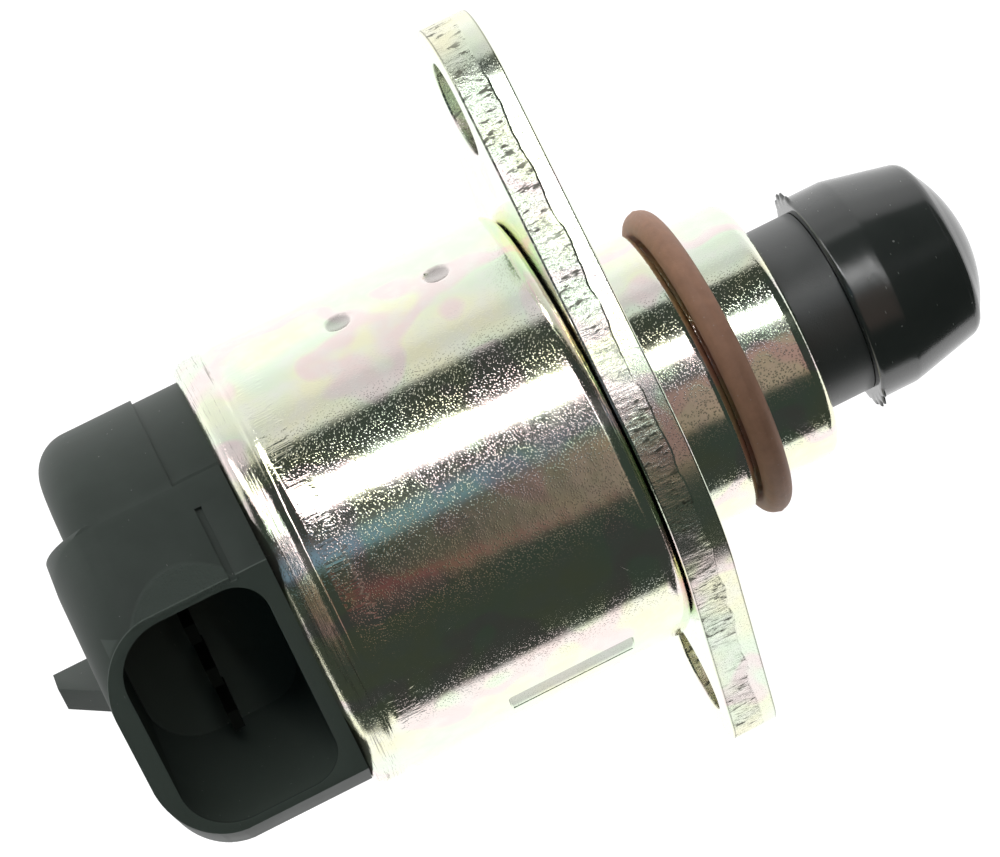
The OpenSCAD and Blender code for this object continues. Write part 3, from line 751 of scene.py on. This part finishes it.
class VALVE_OT_pintle(bpy.types.Operator):
    """Shapes the plunger and the pintle's head, with the moulding flash at the head's back edge."""
    bl_idname = "valve.pintle"
    bl_label = "Pintle"

    def execute(self, context):
        sizes = context.scene.valve_pintle
        back, head_r, stem_r, dome = HEAD_BACK, sizes.head / MM, sizes.plunger / MM, sizes.dome / MM
        # The back face and the straight band
        outline = [(back, 0.4), (back, 5.0), (back, head_r - 0.5)]
        outline += arc(back + 0.2, head_r - 0.2, 0.2, 180.0, 90.0, 4)
        outline += straight((back + 0.35, head_r), (back + 3.0, head_r), 0.5)
        # The cone with a rounded end, and the dome
        outline += [(back + 3.15, head_r - 0.01), (back + 3.35, head_r - 0.05)]
        outline += straight((back + 3.7, head_r - 0.12), (24.35, 6.93), 0.5)
        outline += arc(24.18, 6.0, 0.92, 78.0, 35.0, 8)
        outline += arc(HEAD_TIP - dome, 0.0, dome, 33.0, 3.0, 14)
        head = turned("pintle_tip", outline, 160, closed=False)
        self.close_tip(head)
        self.flash(head, head_r)
        smooth(head, 35.0)
        finish_piece(head, head_plastic(context.scene), "pintle", "pintle_head")
        # The plunger is a cup with its floor at the head, where the screw goes through
        mouth, floor, inner, screw = 5.7, 12.3, 5.7, 2.2
        stem = [(mouth, inner), (mouth, stem_r - 0.2)] + arc(mouth + 0.2, stem_r - 0.2, 0.2, 180.0, 90.0, 3)
        stem += straight((mouth + 0.5, stem_r), (back - 0.05, stem_r), 0.8)
        stem += [(back - 0.05, screw), (floor, screw), (floor, inner), (mouth, inner)]
        plunger = turned("pintle_stem", stem, 128)
        smooth(plunger, 35.0)
        finish_piece(plunger, plunger_plastic(context.scene), "pintle", "pintle_plunger")
        return {"FINISHED"}

    def close_tip(self, head):
        """Closes the small hole left at the dome's middle."""
        choose_only(head)
        bpy.ops.object.mode_set(mode="EDIT")
        bpy.ops.mesh.select_all(action="DESELECT")
        bpy.ops.mesh.select_non_manifold()
        bpy.ops.mesh.edge_face_add()
        bpy.ops.mesh.select_all(action="SELECT")
        bpy.ops.mesh.normals_make_consistent(inside=False)
        bpy.ops.object.mode_set(mode="OBJECT")

    def flash(self, head, head_r):
        """Pulls the back edge out into thin slivers on the two sides of the mould's parting."""
        reach, narrow, teeth = 0.075, 0.93, 37.0
        for vertex in head.data.vertices:
            place = vertex.co / MM
            if place.x > HEAD_BACK + 0.25 or place.yz.length < head_r - 0.25:
                continue
            side = place.yz.normalized().dot(PICTURE_UP.yz)
            share = max(0.0, abs(side) - narrow) / (1.0 - narrow)
            ragged = 0.6 + 0.4 * math.sin(teeth * math.atan2(place.y, place.z))
            vertex.co.yz *= 1.0 + reach * math.sqrt(share) * ragged


class VALVE_OT_cover(bpy.types.Operator):
    """Softens the edges of the moulded rear cover."""
    bl_idname = "valve.cover"
    bl_label = "Rear cover"

    def execute(self, context):
        source = NODES["rear_cover"]
        source.hide_set(False)
        choose_only(source)
        bpy.ops.object.duplicate()
        cover = bpy.context.object
        cover.name = "connector_cover"
        bpy.ops.object.mode_set(mode="EDIT")
        bpy.ops.mesh.select_all(action="SELECT")
        bpy.ops.mesh.remove_doubles(threshold=2e-6)
        bpy.ops.mesh.dissolve_limited(angle_limit=math.radians(0.6))
        bpy.ops.mesh.normals_make_consistent(inside=False)
        bpy.ops.object.mode_set(mode="OBJECT")
        sizes = context.scene.valve_cover
        modify(cover, "BEVEL", width=sizes.edge, segments=3, limit_method="ANGLE",
               angle_limit=math.radians(32.0))
        smooth(cover, 35.0)
        finish_piece(cover, cover_plastic(sizes.plastic), "valve_body", "rear_cover")
        return {"FINISHED"}


class VALVE_OT_stage(bpy.types.Operator):
    """Sets the pale floor, the long soft lights and the camera."""
    bl_idname = "valve.stage"
    bl_label = "Stage"

    def execute(self, context):
        settings = context.scene.valve_stage
        bpy.ops.object.select_all(action="DESELECT")
        bpy.ops.mesh.primitive_plane_add(size=8.0, location=(0.0, 0.0, -settings.floor_drop))
        floor = context.object
        floor.name = "pale_floor"
        floor.data.materials.append(self.floor_light(settings.floor_glow))
        world = bpy.data.worlds.new("studio")
        context.scene.world = world
        self.light(Look(world), settings.light_strength, settings.key)
        self.camera(context, settings.lens)
        context.scene.view_settings.view_transform = "Standard"
        return {"FINISHED"}

    def floor_light(self, glow):
        """The floor glows white under the valve and dims with the distance behind it, in millimetres."""
        pale = look("pale_floor")
        y = pale.axes(pale.place())[1]
        fall = y.rise(65.0, 150.0) * 0.22 + y.rise(150.0, 600.0) * 0.2
        level = pale.joined(1.0 - fall, 1.0 - fall, 1.0 - fall)
        shine = pale.add("Emission", inputs={"Color": level, "Strength": glow})
        pale.add("OutputMaterial", inputs={0: shine})
        return pale.owner

    def light(self, sky, strength, key_strength):
        """Long lights along the valve, by their angle round its axis from the camera's side.

        Their places, strengths and tints are fitted to the reflections in the photograph.
        """
        way = sky.add("TexCoord", output="Generated")
        along = sky.axes(way)[0]
        angle = sky.maths("ARCTAN2", sky.dot(way, PICTURE_UP), sky.dot(way, TO_CAMERA)) * (180.0 / math.pi)
        # The key light lies at a slant to the valve's axis, more so towards the nose
        slant = angle + along * 75.0 + (along - 0.12).at_least(0.0) ** 2.0 * 800.0
        key = slant.between(22.5, 34.0, 3.0) * along.rise(0.30, 0.22) * key_strength
        side = along.rise(0.55, 0.25)
        nose = (along - 0.1).at_least(0.0)
        # White from above and below in the picture, and a warm glow on the nose between them
        wall = angle.rise(53.5, 59.0) * side * 0.68
        low = (angle + nose * 70.0).rise(-97.5, -102.5) * (side * 0.8 + 0.3)
        warm = (angle + nose * 110.0).rise(-42.0, -34.0) * angle.rise(-4.0, -12.0) * 0.36
        warm = warm * along.rise(0.03, 0.17) * along.rise(0.28, 0.2)
        # A faint red line and a blue band in the dark stretch, on a little grey
        red = (angle + along * 190.0).between(-24.0, -18.5, 2.0) * along.rise(0.12, 0.06) * 0.13
        blue = angle.between(-7.0, 3.0, 3.0) * along.rise(0.1, 0.06)
        grey = angle.between(-8.0, 9.0, 4.0) * 0.07
        shades = ((key + wall + low + grey, (1.0, 1.0, 1.0)), (warm, (1.0, 0.66, 0.55)),
                  (red, (1.0, 0.12, 0.14)), (blue, (0.05, 0.15, 0.23)))
        light = (0.038, 0.047, 0.041)
        for share, shade in shades:
            part = sky.add("VectorMath", {"operation": "SCALE"}, {0: shade, "Scale": share})
            light = sky.add("VectorMath", {"operation": "ADD"}, {0: light, 1: part})
        background = sky.add("Background", inputs={"Color": light, "Strength": strength})
        sky.add("OutputWorld", inputs={0: background})

    def camera(self, context, lens):
        """The camera at the photograph's viewing angle."""
        bpy.ops.object.camera_add(location=CAMERA_PLACE)
        camera = context.object
        camera.name = "photo_camera"
        z = (camera.location - CAMERA_TARGET).normalized()
        x = CAMERA_UP.cross(z).normalized()
        y = z.cross(x)
        camera.matrix_world = Matrix.Translation(camera.location) @ Matrix((x, y, z)).transposed().to_4x4()
        camera.data.lens = lens
        camera.data.sensor_width = 36.0
        camera.data.clip_start = 0.01
        context.scene.camera = camera


class VALVE_PT_sidebar(bpy.types.Panel):
    """Lists the valve's pieces, their sizes and the stage."""
    bl_label = "Valve"
    bl_space_type = "VIEW_3D"
    bl_region_type = "UI"
    bl_category = "Valve"

    def draw(self, context):
        for operator in OPERATORS:
            self.layout.operator(operator.bl_idname)
        for name, group in GROUPS:
            box = self.layout.box()
            box.label(text=name.replace("valve_", "").capitalize())
            for setting in group.__annotations__:
                box.prop(getattr(context.scene, name), setting)


GROUPS = (("valve_can", ValveCan), ("valve_flange", ValveFlange), ("valve_ring", ValveRing),
          ("valve_pintle", ValvePintle), ("valve_cover", ValveCover), ("valve_stage", ValveStage))
OPERATORS = (VALVE_OT_finishes, VALVE_OT_can, VALVE_OT_flange, VALVE_OT_ring, VALVE_OT_pintle,
             VALVE_OT_cover, VALVE_OT_stage)


def register():
    for _, group in GROUPS:
        bpy.utils.register_class(group)
    for operator in OPERATORS:
        bpy.utils.register_class(operator)
    bpy.utils.register_class(VALVE_PT_sidebar)
    for name, group in GROUPS:
        setattr(bpy.types.Scene, name, bpy.props.PointerProperty(type=group))


def unregister():
    for name, _ in GROUPS:
        delattr(bpy.types.Scene, name)
    bpy.utils.unregister_class(VALVE_PT_sidebar)
    for operator in reversed(OPERATORS):
        bpy.utils.unregister_class(operator)
    for _, group in reversed(GROUPS):
        bpy.utils.unregister_class(group)


def main():
    register()
    bpy.ops.valve.finishes()
    bpy.ops.valve.can()
    bpy.ops.valve.flange()
    bpy.ops.valve.ring()
    bpy.ops.valve.pintle()
    bpy.ops.valve.cover()
    bpy.ops.valve.stage()


if __name__ == "__main__":
    main()
